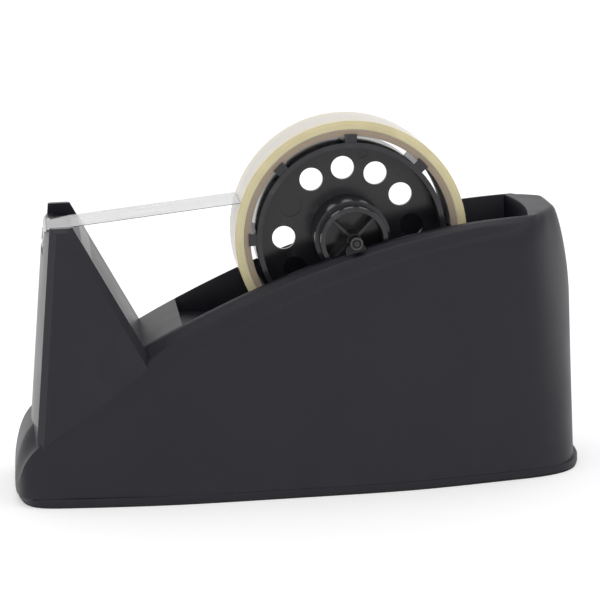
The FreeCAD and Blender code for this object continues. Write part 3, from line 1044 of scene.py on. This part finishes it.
    def _soften_rear(self, shape: Shape) -> None:
        """Relaxes the rear top corner, outside the well, into one soft and full curve.

        Args:
            shape: the shell's mesh.
        """
        weights = {}
        behind = self.well_rear + self.well_bow + self.rear_soft_gap
        for vert in shape.verts:
            x, y, z = (value / MM for value in vert.co)
            aside = clamp((abs(y) - self.well_half - self.rear_soft_gap) / self.rear_soft_aside)
            start = behind + (self.rear_soft_from - behind) * aside
            along = clamp((x - start) / self.rear_soft_run)
            upward = clamp((z - self.ledge_z) / self.rear_soft_run)
            least = self.rear_soft_middle
            outward = least + (1.0 - least) * min(abs(y) / self.rim_half, 1.0) ** 3
            if along * upward > 0:
                weights[vert] = 0.5 * along * upward * outward
        for _ in range(self.rear_passes):
            moved = {}
            for vert, weight in weights.items():
                around = [edge.other_vert(vert).co for edge in vert.link_edges]
                middle = sum(around, Vector()) / len(around)
                moved[vert] = vert.co.lerp(middle, weight)
            for vert, place in moved.items():
                vert.co = place
        shape.normal_update()
        for vert, weight in weights.items():
            vert.co.z += self.rear_fullness * MM * weight * max(0.0, vert.normal.z) ** 2

    def _round_lip(self, shape: Shape) -> None:
        """Rounds the upper edge of the well.

        Args:
            shape: the shell's mesh.
        """
        lip = []
        reach = self.lip_reach
        for edge in shape.edges:
            middle = (edge.verts[0].co + edge.verts[1].co) / (2 * MM)
            inside = abs(middle.y) < self.well_half + reach
            rear = self.well_rear + self.well_bow + 2 * reach
            along = self.well_front - 2 * reach < middle.x < rear
            high = abs(middle.z - self.roof(middle.x, middle.y)) < reach
            if inside and along and high and len(edge.link_faces) == 2:
                if edge.calc_face_angle() > math.radians(self.lip_degrees):
                    lip.append(edge)
        bmesh.ops.bevel(shape, geom=lip, offset=self.lip_round * MM, segments=3, profile=0.5,
                        affect="EDGES", clamp_overlap=True)

    @staticmethod
    def _subtract(shell: bpy.types.Object, cutter: Shape) -> None:
        """Cuts a closed mesh out of the shell.

        Args:
            shell: the shell's object.
            cutter: mesh to take away, which is freed.
        """
        tool = put_in_scene("cutter", cutter)
        cut = shell.modifiers.new("cut", "BOOLEAN")
        cut.object = tool
        cut.operation = "DIFFERENCE"
        cut.solver = "EXACT"
        bpy.context.view_layer.update()
        graph = bpy.context.evaluated_depsgraph_get()
        result = bpy.data.meshes.new_from_object(shell.evaluated_get(graph))
        shell.modifiers.clear()
        shell.data = result
        bpy.data.objects.remove(tool)
        shell.data.set_sharp_from_angle(angle=math.radians(SHARP_DEGREES))

    def notch_cutter(self, side: int) -> Shape:
        """Block that opens one notch for the spindle.

        Args:
            side: 1 for the right notch, -1 for the left one.

        Returns:
            The block in metres.
        """
        shape = bmesh.new()
        middle = side * (self.notch_from + self.notch_reach) / 2
        width = self.notch_reach - self.notch_from
        size = Vector((2 * self.notch_half, width, self.notch_height)) * MM
        centre = Vector((AXIS_X, middle, self.notch_z + self.notch_height / 2)) * MM
        bmesh.ops.create_cube(shape, size=1.0, matrix=Matrix.LocRotScale(centre, None, size))
        return shape

    def nose_cutter(self) -> Shape:
        """Volume above the crowned nose, in front of the tower.

        Returns:
            Closed mesh in metres.
        """
        front = self.tower_front
        reach, top, gap = front.cheek_half, self.ledge_z, self.nose_gap
        ahead = self.side_view[0][0] - self.nose_room
        shape = bmesh.new()
        sections = []
        for k in range(self.nose_rows + 1):
            y = reach * (2 * k / self.nose_rows - 1)
            run = self.nose_crown_half - self.nose_crown_from
            drop = self.nose_crown * ease(clamp((abs(y) - self.nose_crown_from) / run))

            def before(t: float) -> float:
                """How far the side view's point lies behind the tower's front."""
                x, z, _ = spline_point(self.side_view, t)
                return x - gap - front.x(y, z + gap - drop)

            foot = solve(before, 0.0, 0.5)
            roof = [spline_point(self.side_view, foot * i / self.nose_columns)
                    for i in range(self.nose_columns + 1)]
            outline = [(ahead, roof[0][1] + gap - drop)]
            outline += [(x - gap, z + gap - drop) for x, z, _ in roof]
            outline += [(front.x(y, top), top), (ahead, top)]
            sections.append([shape.verts.new(Vector((x, y, z)) * MM) for x, z in outline])
        join_rows(shape, sections, closed=True)
        shape.faces.new(sections[0])
        shape.faces.new(sections[-1])
        bmesh.ops.recalc_face_normals(shape, faces=shape.faces)
        return shape

    def build(self) -> None:
        """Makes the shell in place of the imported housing."""
        shell = finish_piece("housing_shell", self.make_shell(), self.finish.build(),
                             Body.DISPENSER)
        self._subtract(shell, self.nose_cutter())
        for side in (1, -1):
            self._subtract(shell, self.notch_cutter(side))
        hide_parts("housing")


# ---- base ------------------------------------------------
@dataclass
class BaseAssembly:
    """Base plate, anti-slip pad, ballast and the screws that close the housing."""

    plate_finish: MouldedPlastic
    pad_finish: RoughSheet
    ballast_finish: RoughSheet
    screw_finish: SteelStrip

    def build(self) -> None:
        """Dresses every piece of the base."""
        dress(self.plate_finish.build(), 0.4, "base_plate")
        dress(self.pad_finish.build(), 0.0, "non_slip_pad")
        dress(self.ballast_finish.build(), 0.8, "ballast_block")
        dress(self.screw_finish.build(), 0.25, "base_screws")


# ---- tower -----------------------------------------------
@dataclass
class BladeTower:
    """Two cheeks with the covers, tape rest and cutting blade between them."""

    plastic: MouldedPlastic
    rear_plastic: MouldedPlastic
    blade_finish: SteelStrip
    screw_finish: SteelStrip

    def build(self) -> None:
        """Dresses every piece of the tower."""
        plastic = self.plastic.build()
        dress(plastic, 0.35, "tower_cheek_left", "tower_cheek_right", "tape_rest")
        dress(plastic, 0.0, "tower_front_panel")
        dress(self.rear_plastic.build(), 0.0, "tower_rear_panel")
        dress(self.blade_finish.build(), 0.0, "cutting_blade")
        dress(self.screw_finish.build(), 0.2, "blade_rivets", "tower_screws")


# ---- reel and tape ---------------------------------------
@dataclass
class Reel:
    """Lift-out reel: drum and hub on the fixed spindle with its pressed-on cap."""

    plastic: MouldedPlastic
    spindle_plastic: MouldedPlastic
    boss_plastic: MouldedPlastic
    edge_rounding: float = 0.25
    boss_end: float = 28.4
    boss_rings: Plan = ((1.6, 2.45), (0.3, 0.95))
    ring_root: float = 0.3
    ring_height: float = 0.4
    ring_ease: float = 0.3
    ring_segments: int = 48

    def make_boss_rings(self) -> Shape:
        """Two raised rings on the end of the spindle cap's boss.

        Returns:
            The mesh in metres.
        """
        foot, top = self.ring_root - self.boss_end, -self.boss_end - self.ring_height
        outlines = []
        for inside, outside in self.boss_rings:
            bevel = self.ring_ease * (outside - inside)
            outlines.append(((inside, foot), (inside, top + bevel), (inside + bevel, top),
                             (outside - bevel, top), (outside, top + bevel), (outside, foot)))
        return revolve(outlines, self.ring_segments)

    def build(self) -> None:
        """Dresses the drum, the hub and the spindle, and adds the rings on the cap's boss."""
        dress(self.plastic.build(), self.edge_rounding, "reel_wheel", "reel_hub")
        dress(self.spindle_plastic.build(), self.edge_rounding, "spindle", "spindle_cap")
        finish_piece("cap_boss_rings", self.make_boss_rings(), self.boss_plastic.build(),
                     Body.SPINDLE)


@dataclass
class TapeRoll:
    """Part-used roll: a paperboard core, the wound film round it and its free end."""

    board: Paperboard
    wound: WoundFilm
    strip: ClearFilm
    half_width: float = TAPE_HALF_WIDTH
    core_inside: float = 38.1
    core_outside: float = 40.6
    roll_outside: float = 43.9
    core_edge: float = 0.25
    layer_step: float = 0.15
    layer_gap: float = 0.02
    stagger: float = 0.09
    last_layer_in: float = 0.2
    segments: int = 192

    def core_outline(self) -> Plan:
        """Section of the board tube with its edges broken.

        Returns:
            Radius and Y of each corner.
        """
        low, high, half, edge = self.core_inside, self.core_outside, self.half_width, self.core_edge
        return ((low, edge - half), (low, half - edge), (low + edge, half), (high - edge, half),
                (high, half - edge), (high, edge - half), (high - edge, -half), (low + edge, -half))

    def winding_outline(self) -> Plan:
        """Section of the winding, whose layers don't quite line up at the sides.

        Returns:
            Radius and Y of each corner.
        """
        count = round((self.roll_outside - self.core_outside) / self.layer_step)
        radii = [self.core_outside + self.layer_step * k for k in range(count)]
        half_gap = self.layer_gap / 2
        side = []
        for k, radius in enumerate(radii):
            wander = 0.5 + 0.25 * (math.sin(2.3 * k) + math.sin(5.1 * k + 1.0))
            y = self.half_width - self.stagger * wander
            side += [(radius + half_gap, y), (radius + self.layer_step - half_gap, y)]
        side.append((self.roll_outside, self.half_width - self.last_layer_in))
        return (*side, *((radius, -y) for radius, y in reversed(side)))

    def build(self) -> None:
        """Makes the core and the winding in place of the plain rings, and dresses the free end."""
        tube = revolve([self.core_outline()], self.segments)
        core = finish_piece("core_tube", tube, self.board.build(), Body.REEL)
        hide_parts("tape_core")
        layers = revolve([self.winding_outline()], self.segments)
        winding = finish_piece("wound_layers", layers, self.wound.build(), Body.REEL)
        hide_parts("tape_winding")
        dress(self.strip.build(), 0.0, "tape_strip")


# ---- studio ----------------------------------------------
@dataclass
class Studio:
    """Plain pale floor, one soft lamp and the camera."""

    camera_mm: Point = (-93.4, -953.5, 271.4)
    azimuth: float = 5.772
    elevation: float = 12.032
    roll: float = -1.781
    focal_pixels: float = 2561.742
    picture_pixels: float = 600.0
    sensor_mm: float = 36.0
    sight_range: tuple[float, float] = (0.05, 50.0)
    room_light: float = 0.85
    floor_half: float = 4.0
    floor_colour: Colour = (0.82, 0.82, 0.82)
    floor_roughness: float = 0.9
    floor_glow: float = 0.38
    lamp_place: Point = (0.1, -0.1, 1.8)
    lamp_size: tuple[float, float] = (1.4, 1.0)
    lamp_watts: float = 2.0
    lamp_aim: Point = (0.0, 0.0, 0.06)

    def make_camera(self) -> None:
        """Places the camera at the reference angle."""
        a, e, r = (math.radians(v) for v in (self.azimuth, self.elevation, self.roll))
        forward = Vector((math.sin(a) * math.cos(e), math.cos(a) * math.cos(e), -math.sin(e)))
        right = Vector((math.cos(a), -math.sin(a), 0.0))
        upward = right.cross(forward)
        turned_right = right * math.cos(r) + upward * math.sin(r)
        turned_up = upward * math.cos(r) - right * math.sin(r)
        data = bpy.data.cameras.new("camera")
        data.sensor_width = self.sensor_mm
        data.lens = self.focal_pixels * self.sensor_mm / self.picture_pixels
        data.clip_start, data.clip_end = self.sight_range
        camera = put_in_scene("camera", data)
        turn = Matrix((turned_right, turned_up, -forward)).transposed().to_quaternion()
        camera.matrix_world = Matrix.LocRotScale(Vector(self.camera_mm) * MM, turn, None)
        bpy.context.scene.camera = camera

    def make_world(self) -> None:
        """White surroundings for the camera and for reflections, softer light for the object."""
        world = bpy.data.worlds.new("surroundings")
        world.use_nodes = True
        bpy.context.scene.world = world
        sheet = NodeSheet(world.node_tree)
        back = world.node_tree.nodes["Background"]
        sheet.feed(WHITE, back.inputs["Color"])
        strength = sheet.span(sheet.seen(), 0.0, 1.0, self.room_light, 1.0)
        sheet.feed(strength, back.inputs["Strength"])

    def make_floor(self) -> None:
        """Pale floor that keeps the dispenser's shadow."""
        surface = Surface("studio_floor")
        surface.set("Base Color", self.floor_colour)
        surface.set("Roughness", self.floor_roughness)
        surface.set("Emission Color", WHITE)
        surface.set("Emission Strength", surface.math("MULTIPLY", surface.seen(), self.floor_glow))
        shape = bmesh.new()
        bmesh.ops.create_grid(shape, x_segments=1, y_segments=1, size=self.floor_half)
        floor = put_in_scene("studio_floor", shape)
        floor.data.materials.append(surface.material)

    def make_lamp(self) -> None:
        """Soft rectangular lamp above the dispenser."""
        data = bpy.data.lights.new("overhead_lamp", "AREA")
        data.shape = "RECTANGLE"
        data.size, data.size_y = self.lamp_size
        data.energy = self.lamp_watts
        lamp = put_in_scene("overhead_lamp", data)
        lamp.location = self.lamp_place
        aim = Vector(self.lamp_aim) - Vector(self.lamp_place)
        lamp.rotation_euler = aim.to_track_quat("-Z", "Y").to_euler()

    def build(self) -> None:
        """Makes the camera, the surroundings, the floor and the lamp."""
        self.make_camera()
        self.make_world()
        self.make_floor()
        self.make_lamp()
        log.info("studio ready")


def main() -> None:
    """Sets the view transform and builds every sub-assembly in order."""
    bpy.context.scene.view_settings.view_transform = "Standard"
    Studio().build()
    steel = SteelStrip("plain_steel", (0.6, 0.6, 0.61), smooth=0.25, rough=0.4)
    Housing(MouldedPlastic("shell_plastic", smooth=0.4, rough=0.48)).build()
    BaseAssembly(
        plate_finish=MouldedPlastic("base_plastic", smooth=0.42, rough=0.52,
                                    grains_per_metre=2200.0, grain_depth=6e-6),
        pad_finish=RoughSheet("pad_foam", low=(0.01, 0.01, 0.01), high=(0.03, 0.03, 0.03),
                              cells_per_metre=2500.0, depth=4e-5),
        ballast_finish=RoughSheet("ballast_iron", low=(0.06, 0.055, 0.05), high=(0.14, 0.13, 0.12),
                                  cells_per_metre=900.0, depth=1e-4, metallic=0.6),
        screw_finish=steel).build()
    BladeTower(
        plastic=MouldedPlastic("tower_plastic", smooth=0.3, rough=0.36),
        rear_plastic=MouldedPlastic("rear_cover_plastic", smooth=0.38, rough=0.45, grain_depth=3e-6),
        blade_finish=SteelStrip("blade_steel", (0.68, 0.68, 0.69), smooth=0.18, rough=0.32),
        screw_finish=steel).build()
    Reel(
        plastic=MouldedPlastic("reel_plastic", smooth=0.14, rough=0.24, colour=(0.022, 0.021, 0.025),
                               worn_and_highlight_colour=(0.05, 0.05, 0.055)),
        spindle_plastic=MouldedPlastic("spindle_plastic", smooth=0.3, rough=0.4,
                                       colour=(0.004, 0.004, 0.005), refraction=1.38),
        boss_plastic=MouldedPlastic("boss_plastic", smooth=0.2, rough=0.3, colour=(0.05, 0.05, 0.052),
                                    worn_and_highlight_colour=(0.07, 0.07, 0.07), dust=0.0)).build()
    TapeRoll(
        board=Paperboard("core_board", low=(0.32, 0.25, 0.18), high=(0.44, 0.35, 0.27),
                         liner=(0.62, 0.6, 0.57)),
        wound=WoundFilm("wound_film", low=(0.72, 0.63, 0.37), high=(0.84, 0.76, 0.48),
                        outside=(0.66, 0.61, 0.55)),
        strip=ClearFilm("clear_film", colour=(0.66, 0.66, 0.67))).build()


if __name__ == "__main__":
    logging.basicConfig(level=logging.INFO, format="%(levelname)s %(message)s")
    main()
